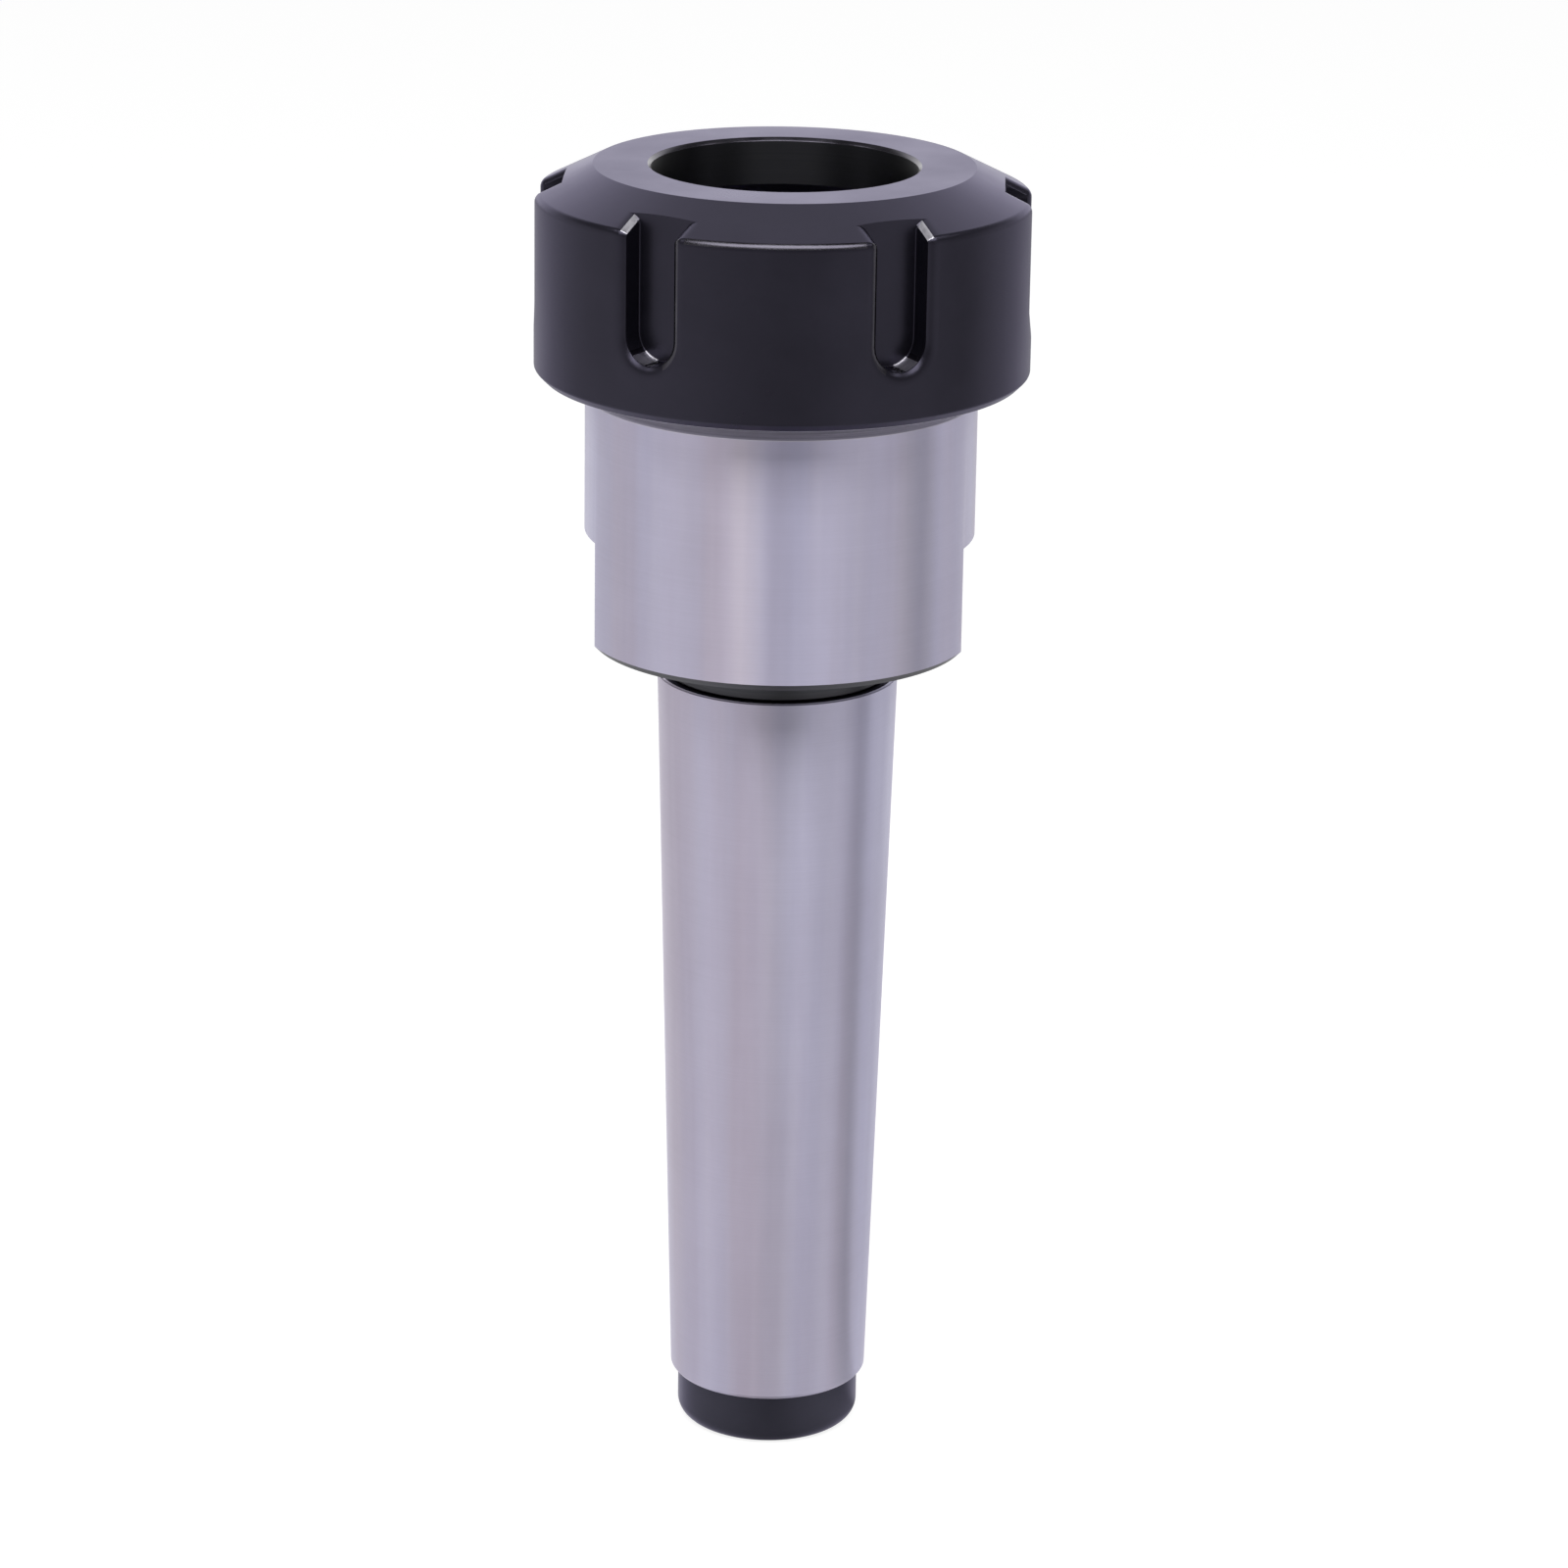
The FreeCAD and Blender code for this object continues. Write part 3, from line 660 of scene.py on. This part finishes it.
class Slot:
    """One slot of the nut: its chamfer, walls and floor, in rows of points that run down its left
    leg, round its end and up its right leg."""

    def __init__(self, skin, number):
        self.skin = skin
        self.first = number * skin.each
        self.worn = WORN_SIDES.get(number, ())
        self.cosine = math.cos(slot_angle(number))
        self.sine = math.sin(slot_angle(number))

    def place(self, across, out, height):
        """A point from its distances across the slot, out from the axis and up."""
        return (out * self.cosine - across * self.sine, out * self.sine + across * self.cosine,
                NUT_LOW + height)

    def outline(self, outward, depth):
        """A row of points this far outside the slot's wall and under the nut's surface."""
        half = SLOT_HALF + outward
        shape = Outside(depth)
        rows = [(math.sqrt(point.x ** 2 - half ** 2), point.y) for point in shape.rows(half)[1:]]
        left = [self.place(-half, out, up) for out, up in rows]
        right = [self.place(half, out, up) for out, up in rows]
        end = []
        for turn in END_TURNS:
            across = half * math.sin(turn)
            end.append(self.place(across, math.sqrt(shape.radius ** 2 - across ** 2),
                                  SLOT_END - half * math.cos(turn)))
        return self.skin.add(left[::-1] + end + right)

    def band(self, one, other, finish_of, row):
        """Quads between two rows, each with the finish that belongs to its row and place."""
        for place in range(OUTLINE_FACES):
            corners = (one[place], one[place + 1], other[place + 1], other[place])
            self.skin.face(corners, finish_of(row, place))

    def edge_finish(self, row, place):
        side = -1 if place < LEG_FACES + IN_SLOT // 2 else 1
        from_top = min(place, OUTLINE_FACES - 1 - place)
        if side in self.worn and row in CHIP_ACROSS and from_top in CHIP_ALONG:
            return WORN
        if self.worn and side not in self.worn and row in RUB_ACROSS and from_top in RUB_ALONG:
            return RUBBED
        return BLACK

    def wall_finish(self, row, place):
        from_middle = (place + 0.5 - LEG_FACES) / IN_SLOT * 2 - 1
        for side in self.worn:
            if CHIP_END[0] < from_middle * side < CHIP_END[1]:
                return WORN
            if row == 0 and RUB_END[0] < from_middle * side < RUB_END[1]:
                return RUBBED
        return BLACK

    def edge(self):
        """The chamfer, with a soft bend outside and a crisp one inside. Returns its rows."""
        rows = [self.outline(outward, depth) for outward, depth in edge_path()]
        for index, (one, other) in enumerate(zip(rows, rows[1:])):
            self.band(one, other, self.edge_finish, index)
        return rows

    def wall(self, brim):
        """The wall and the small fillet at its foot, which shrinks away where the wall runs out on
        the cone. Returns the lowest row."""
        outward = Vector((self.cosine, self.sine, 0))
        toward = [(1, 0, 0)] * LEG_FACES
        toward += [(-math.sin(turn), 0, math.cos(turn)) for turn in END_TURNS]
        toward += [(-1, 0, 0)] * LEG_FACES
        last = brim
        for step in range(FLOOR_STEPS + 1):
            turn = math.pi / 2 * step / FLOOR_STEPS
            points = []
            for number, direction in zip(brim, toward):
                point = Vector(self.skin.points[number])
                out = point.dot(outward)
                reach = min(FLOOR_ROUND, max(0.0, out - SLOT_FLOOR))
                inward = Vector(self.place(*direction)) - Vector((0, 0, NUT_LOW))
                down = SLOT_FLOOR + reach * (1 - math.sin(turn)) - out
                moved = point + inward * (reach * (1 - math.cos(turn)))
                points.append(tuple(moved + down * outward))
            row = self.skin.add(points)
            self.band(last, row, self.wall_finish, step)
            last = row
        return last

    def floor(self, rows, foot):
        """The floor, with the ends of the chamfer's rows in its own plane and its upper edge on the
        cone. Returns the points of that edge by column."""
        edge = []
        for across in self.skin.inside[1:-1]:
            point = SURFACE.cone(SURFACE.to_radius(math.hypot(SLOT_FLOOR, across)))
            edge += self.skin.add([self.place(across, SLOT_FLOOR, point.y)])
        left = [row[0] for row in rows]
        right = [row[-1] for row in rows]
        self.skin.face(tuple(left + foot + right[::-1] + edge[::-1]), BLACK)
        return dict(enumerate([left[0]] + edge + [right[0]], start=self.first))

    def cut(self):
        """Adds the slot. Returns the points of its upper edge by column."""
        rows = self.edge()
        foot = self.wall(rows[-1])
        return self.floor(rows, foot)


def nut_skin():
    skin = NutSkin()
    first, last, start = skin.foot()
    last = skin.wall(last, start)
    spans = [skin.span(number, last) for number in range(SLOTS)]
    last = skin.slots(spans)
    last = skin.upper_cone(last)
    last = skin.mouth(last)
    skin.lip_and_thread(last, first)
    return skin


# Node trees

# Noise values lie mostly between these two
NOISE_LOW = 0.3
NOISE_HIGH = 0.7
QUARTER_TURN = 0.25


class Tree:
    """A node tree in the making. A value is another node's socket or, in most cases, a number."""

    def __init__(self, owner):
        owner.use_nodes = True
        self.nodes = owner.node_tree.nodes
        self.links = owner.node_tree.links

    def feed(self, socket, value):
        if isinstance(value, (int, float)):
            socket.default_value = value
        elif value is not None:
            self.links.new(value, socket)

    def ramp(self, value, stops):
        """Colours along a value: a list of (place, colour)."""
        made = self.nodes.new("ShaderNodeValToRGB")
        made.color_ramp.elements[0].position = stops[0][0]
        made.color_ramp.elements[0].color = (*stops[0][1], 1)
        made.color_ramp.elements[1].position = stops[-1][0]
        made.color_ramp.elements[1].color = (*stops[-1][1], 1)
        for place, colour in stops[1:-1]:
            made.color_ramp.elements.new(place).color = (*colour, 1)
        self.feed(made.inputs["Fac"], value)
        return made.outputs["Color"]

    def map_range(self, value, start, end, low, high, kind="LINEAR"):
        """A value taken from one range to another."""
        made = self.nodes.new("ShaderNodeMapRange")
        made.interpolation_type = kind
        for name, number in (("From Min", start), ("From Max", end), ("To Min", low), ("To Max", high)):
            made.inputs[name].default_value = number
        self.feed(made.inputs["Value"], value)
        return made.outputs["Result"]

    def smooth(self, value, start, end):
        """A soft step from nought to one between two values."""
        return self.map_range(value, start, end, 0.0, 1.0, "SMOOTHSTEP")

    def maths(self, kind, one, other=None):
        made = self.nodes.new("ShaderNodeMath")
        made.operation = kind
        for socket, value in zip(made.inputs, (one, other)):
            self.feed(socket, value)
        return made.outputs["Value"]

    def choose(self, share, one, other):
        """One value or the other, as the share goes from nought to one."""
        made = self.nodes.new("ShaderNodeMix")
        made.data_type = "FLOAT"
        for name, value in (("Factor", share), ("A", one), ("B", other)):
            self.feed(made.inputs[name], value)
        return made.outputs["Result"]

    def rays(self):
        """Whether a ray is seen straight or through glass, and whether it is mirrored."""
        path = self.nodes.new("ShaderNodeLightPath")
        direct = self.maths("MAXIMUM", path.outputs["Is Camera Ray"],
                            path.outputs["Is Transmission Ray"])
        return direct, path.outputs["Is Glossy Ray"]

    def axes(self, direction):
        made = self.nodes.new("ShaderNodeSeparateXYZ")
        self.feed(made.inputs["Vector"], direction)
        return made.outputs


class Look(Tree):
    """A material in the making."""

    def __init__(self, name):
        self.made = bpy.data.materials.new(name)
        super().__init__(self.made)
        self.shader = self.nodes["Principled BSDF"]
        self.place = self.nodes.new("ShaderNodeTexCoord").outputs["Object"]

    def noise(self, scale=1.0, detail=4.0, roughness=0.5, stretch=(1, 1, 1)):
        """A noise pattern in the object's own frame, stretched along its axes."""
        mapping = self.nodes.new("ShaderNodeMapping")
        mapping.inputs["Scale"].default_value = stretch
        self.feed(mapping.inputs["Vector"], self.place)
        made = self.nodes.new("ShaderNodeTexNoise")
        made.inputs["Scale"].default_value = scale
        made.inputs["Detail"].default_value = detail
        made.inputs["Roughness"].default_value = roughness
        self.feed(made.inputs["Vector"], mapping.outputs["Vector"])
        return made.outputs["Fac"]

    def spread(self, noise, low, high):
        """Noise taken to lie between two numbers."""
        return self.map_range(noise, NOISE_LOW, NOISE_HIGH, low, high)

    def multiply(self, one, other, share=1.0):
        """One colour darkened by another."""
        made = self.nodes.new("ShaderNodeMix")
        made.data_type = "RGBA"
        made.blend_type = "MULTIPLY"
        made.inputs["Factor"].default_value = share
        self.feed(made.inputs["A"], one)
        self.feed(made.inputs["B"], other)
        return made.outputs["Result"]

    def metal(self, colour, roughness, share=1.0):
        """Colour and roughness, and how far the surface is a metal."""
        self.feed(self.shader.inputs["Base Color"], colour)
        self.feed(self.shader.inputs["Roughness"], roughness)
        self.shader.inputs["Metallic"].default_value = share

    def lathe_lines(self, amount):
        """Gloss drawn out across fine rings round the axis."""
        self.shader.inputs["Anisotropic"].default_value = amount
        self.shader.inputs["Anisotropic Rotation"].default_value = QUARTER_TURN
        tangent = self.nodes.new("ShaderNodeTangent")
        tangent.direction_type = "RADIAL"
        tangent.axis = "Z"
        self.feed(self.shader.inputs["Tangent"], tangent.outputs["Tangent"])

    def bump(self, height, strength, distance, under=None):
        """Small unevenness, over another one where that is given. The distance is in metres."""
        made = self.nodes.new("ShaderNodeBump")
        made.inputs["Strength"].default_value = strength
        made.inputs["Distance"].default_value = distance
        self.feed(made.inputs["Height"], height)
        self.feed(made.inputs["Normal"], under)
        self.feed(self.shader.inputs["Normal"], made.outputs["Normal"])
        return made.outputs["Normal"]


# Materials

# Middle tones of the mottled oxides, and the low and high levels of the turned ones, whose
# blue is stronger by this much
OXIDE_TONE = (0.0275, 0.0256, 0.0375)
TAIL_TONE = (0.041, 0.040, 0.056)
# The neck's levels sit well above the other oxides: painted light on the shaded neck and the head's
# underside.
NECK_PAINTED_LIGHT_LEVELS = (0.085, 0.100)
MOUTH_LEVELS = (0.033, 0.036)
OXIDE_BLUE = 1.12


def ground_steel():
    """Steel ground between centres: fine rings round the axis, and faint streaks along it painted into
    its colour as reflections, which also vary its roughness.
    """
    look = Look("ground_steel")
    lines = look.noise(detail=6.0, roughness=0.65, stretch=(18, 18, 5200))
    painted_streaks = look.noise(detail=3.0, stretch=(170, 170, 5))
    stains = look.noise(scale=60.0, detail=5.0, roughness=0.6)
    # The tone over the streaks is a painted reflection: lighter and darker bands along the axis.
    tone = look.ramp(painted_streaks, [(0.3, (0.51, 0.478, 0.615)), (0.5, (0.575, 0.545, 0.69)),
                             (0.7, (0.635, 0.606, 0.74))])
    fine = look.ramp(lines, [(0.25, (0.95, 0.95, 0.95)), (0.75, (1.0, 1.0, 1.0))])
    toned = look.multiply(tone, fine)
    blot = look.ramp(stains, [(0.35, (0.93, 0.92, 0.92)), (0.6, (1.0, 1.0, 1.0))])
    toned = look.multiply(toned, blot, share=0.6)
    casts = look.noise(detail=2.0, stretch=(95, 95, 3))
    cast = look.ramp(casts, [(0.35, (1.0, 0.965, 0.93)), (0.5, (0.975, 0.975, 0.975)),
                             (0.65, (0.94, 0.96, 1.0))])
    look.metal(look.multiply(toned, cast), look.spread(painted_streaks, 0.38, 0.46))
    look.lathe_lines(0.9)
    look.bump(lines, strength=0.10, distance=0.00002)
    return look.made


def black_oxide(name, middle):
    """Satin black oxide with a faint lilac cast, mottling and turning lines."""
    look = Look(name)
    clouds = look.noise(scale=70.0, detail=5.0, roughness=0.55)
    grain = look.noise(scale=2600.0, detail=3.0, roughness=0.6)
    lines = look.noise(roughness=0.6, stretch=(25, 25, 3000))
    tone = look.ramp(clouds, [(place, tuple(share * value for value in middle))
                              for place, share in ((0.3, 0.87), (0.5, 1.0), (0.72, 1.18))])
    look.metal(tone, look.spread(clouds, 0.27, 0.35), share=0.85)
    look.shader.inputs["Specular Tint"].default_value = (0.85, 0.82, 1.0, 1)
    under = look.bump(lines, strength=0.10, distance=0.00002)
    look.bump(grain, strength=0.12, distance=0.00001, under=under)
    return look.made


def turned_metal(name, low, high, fineness, roughness, drawn_out):
    """Metal with turning marks between two colours."""
    look = Look(name)
    lines = look.noise(roughness=0.6, stretch=(20, 20, fineness))
    look.metal(look.ramp(lines, [(NOISE_LOW, low), (NOISE_HIGH, high)]), roughness)
    look.lathe_lines(drawn_out)
    return look.made


def turned_steel():
    """Steel as the lathe leaves it, on the head's chamfer and the nut's lower edge."""
    return turned_metal("turned_steel", (0.38, 0.365, 0.43), (0.72, 0.695, 0.79),
                        fineness=4200, roughness=0.55, drawn_out=0.5)


def turned_oxide(name, low, high):
    """Black oxide over turning marks, in the nut's mouth and on the neck."""
    return turned_metal(name, (low, low, low * OXIDE_BLUE), (high, high, high * OXIDE_BLUE),
                        fineness=3500, roughness=0.40, drawn_out=0.9)


def rubbed_oxide():
    """Black oxide on edges that hands and spanners have polished."""
    look = Look("rubbed_oxide")
    clouds = look.noise(scale=260.0)
    tone = look.ramp(clouds, [(0.3, (0.056, 0.052, 0.066)), (0.5, (0.066, 0.062, 0.077)),
                              (0.75, (0.082, 0.078, 0.095))])
    look.metal(tone, look.spread(clouds, 0.20, 0.28))
    look.lathe_lines(0.4)
    return look.made


def worn_oxide():
    """Black oxide worn down to bare steel in patches."""
    look = Look("worn_oxide")
    patches = look.noise(scale=330.0, detail=6.0, roughness=0.65)
    tone = look.ramp(patches, [(0.36, (0.34, 0.33, 0.37)), (0.50, (0.44, 0.43, 0.47)),
                               (0.62, (0.52, 0.51, 0.55))])
    look.metal(tone, look.spread(patches, 0.36, 0.48))
    look.bump(patches, strength=0.3, distance=0.00003)
    return look.made


# Stage, light and camera

# Light seen by metal at the level of the object, by degrees from the camera's side
TOP_LEVEL = 1.2
ROUND = ((-180, 0.72), (-150, 0.66), (-125, 0.78), (-100, 0.84), (-64, 0.90), (-32, 0.68), (-14, 0.48),
         (0, 0.29), (14, 0.30), (32, 0.61), (64, 0.78), (82, 0.52), (93, 0.28), (104, 0.84),
         (128, 0.72), (152, 0.58), (180, 0.62))
# Light from all round on what isn't a mirror
WORLD_FILL = 0.3
# The room above, and the heights of a direction between which it takes over
ROOM = 0.15
ROOM_FROM = 0.15
ROOM_FULL = 0.5
# The backdrop, how fast it ends to the sides, and the depth at which it is full
BACKDROP = 1.5
BACKDROP_SIDE = 0.85
BACKDROP_FULL = 0.28
# The floor: size in metres, its own tone, its glow to the camera and its share of the light
# round about, as metal sees it
FLOOR_SIZE = 6.0
FLOOR_TONE = 0.3
FLOOR_GLOW = 0.85
FLOOR_MIRRORED = 0.8
FLOOR_ROUGHNESS = 0.9

# Lamps: name, then place, aim, width and height in metres, and power in watts
LAMPS = (("front_softbox", (0.0, -0.80, 1.17), (0.0, -0.80, 0.0), 1.4, 0.8, 19),
         ("left_edge_light", (-1.04, -0.09, 1.17), (0, 0, 0.17), 0.3, 0.3, 1.4),
         ("right_edge_light", (1.04, -0.09, 1.17), (0, 0, 0.17), 0.3, 0.3, 1.4))

# The camera as fitted to the photograph: place and nearest distance in metres, lens and sensor
# in millimetres, angles in radians
CAMERA_BACK = 0.674424
CAMERA_UP = 0.308316
CAMERA_NEAREST = 0.01
CAMERA_LENS = 125.144
SENSOR_WIDTH = 36.0
CAMERA_YAW = 0.001585
CAMERA_PITCH = 0.314778
CAMERA_ROLL = 0.015201


def level_round(tree, axes):
    """Light at the level of the object, from the parts of a direction."""
    ahead = tree.maths("MULTIPLY", axes["Y"], -1.0)
    turn = tree.maths("ARCTAN2", axes["X"], ahead)
    place = tree.maths("ADD", tree.maths("MULTIPLY", turn, 1 / TAU), 0.5)
    stops = [(0.5 + angle / 360, (level / TOP_LEVEL,) * 3) for angle, level in ROUND]
    return tree.maths("MULTIPLY", tree.ramp(place, stops), TOP_LEVEL)


def make_world():
    """White to the camera. Metal sees a white backdrop behind the object in a darker room."""
    world = bpy.data.worlds.new("studio")
    bpy.context.scene.world = world
    tree = Tree(world)
    direct, glossy = tree.rays()
    axes = tree.axes(tree.nodes.new("ShaderNodeTexCoord").outputs["Generated"])
    upper = tree.smooth(axes["Z"], ROOM_FROM, ROOM_FULL)
    mirrored = tree.choose(upper, level_round(tree, axes), ROOM)
    aside = tree.maths("MULTIPLY", tree.maths("ABSOLUTE", axes["X"]), BACKDROP_SIDE)
    rear = tree.smooth(tree.maths("SUBTRACT", axes["Y"], aside), 0.0, BACKDROP_FULL)
    mirrored = tree.choose(rear, mirrored, BACKDROP)
    strength = tree.choose(glossy, WORLD_FILL, mirrored)
    background = tree.nodes["Background"]
    tree.feed(background.inputs["Strength"], tree.choose(direct, strength, 1.0))
    background.inputs["Color"].default_value = (1, 1, 1, 1)


def make_floor():
    """A pale floor that glows to the camera and is mirrored like the room."""
    mesh = bpy.data.meshes.new("floor")
    half = FLOOR_SIZE / 2
    mesh.from_pydata([(-half, -half, 0), (half, -half, 0), (half, half, 0), (-half, half, 0)], [],
                     [(0, 1, 2, 3)])
    floor = bpy.data.objects.new("floor", mesh)
    bpy.context.scene.collection.objects.link(floor)
    look = Look("pale_floor")
    shader = look.shader
    shader.inputs["Base Color"].default_value = (FLOOR_TONE, FLOOR_TONE, FLOOR_TONE, 1)
    shader.inputs["Roughness"].default_value = FLOOR_ROUGHNESS
    shader.inputs["Specular IOR Level"].default_value = 0.0
    direct, glossy = look.rays()
    mirrored = look.maths("MULTIPLY", level_round(look, look.axes(look.place)), FLOOR_MIRRORED)
    mirrored = look.maths("MULTIPLY", mirrored, glossy)
    shader.inputs["Emission Color"].default_value = (1, 1, 1, 1)
    look.feed(shader.inputs["Emission Strength"], look.choose(direct, mirrored, FLOOR_GLOW))
    mesh.materials.append(look.made)


def make_lamp(name, place, aim, wide, tall, power):
    data = bpy.data.lights.new(name, "AREA")
    data.shape = "RECTANGLE"
    data.size = wide
    data.size_y = tall
    data.energy = power
    lamp = bpy.data.objects.new(name, data)
    lamp.location = place
    lamp.rotation_euler = (Vector(aim) - Vector(place)).to_track_quat("-Z", "Y").to_euler()
    bpy.context.scene.collection.objects.link(lamp)


def make_camera():
    data = bpy.data.cameras.new("camera")
    data.lens = CAMERA_LENS
    data.sensor_width = SENSOR_WIDTH
    data.clip_start = CAMERA_NEAREST
    camera = bpy.data.objects.new("camera", data)
    bpy.context.scene.collection.objects.link(camera)
    ahead = Vector((math.sin(CAMERA_YAW) * math.cos(CAMERA_PITCH),
                    math.cos(CAMERA_YAW) * math.cos(CAMERA_PITCH), -math.sin(CAMERA_PITCH)))
    level = ahead.cross(Vector((0, 0, 1))).normalized()
    upright = level.cross(ahead)
    right = math.cos(CAMERA_ROLL) * level + math.sin(CAMERA_ROLL) * upright
    up = -math.sin(CAMERA_ROLL) * level + math.cos(CAMERA_ROLL) * upright
    camera.matrix_world = Matrix((
        (right.x, up.x, -ahead.x, 0.0),
        (right.y, up.y, -ahead.y, -CAMERA_BACK),
        (right.z, up.z, -ahead.z, CAMERA_UP),
        (0, 0, 0, 1)))
    bpy.context.scene.camera = camera


# Build

steel = ground_steel()
oxide = black_oxide("black_oxide", OXIDE_TONE)
bare = turned_steel()

tail_oxide = black_oxide("tail_oxide", TAIL_TONE)
# The neck and the head's underside get a lighter oxide: painted light where they lie in shade.
neck_oxide_painted_light = turned_oxide("neck_oxide_painted_light", *NECK_PAINTED_LIGHT_LEVELS)
chuck = chuck_skin().piece("chuck_finish", [steel, tail_oxide, bare, neck_oxide_painted_light])
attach(chuck, "chuck")
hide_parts("chuck_body")

nut = nut_skin().piece("nut_finish", [worn_oxide(), oxide, rubbed_oxide(),
                                    turned_oxide("mouth_oxide", *MOUTH_LEVELS), bare])
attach(nut, "nut")
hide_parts("clamping_nut")

make_world()
make_floor()
for lamp in LAMPS:
    make_lamp(*lamp)
make_camera()

bpy.context.scene.view_settings.view_transform = "Standard"
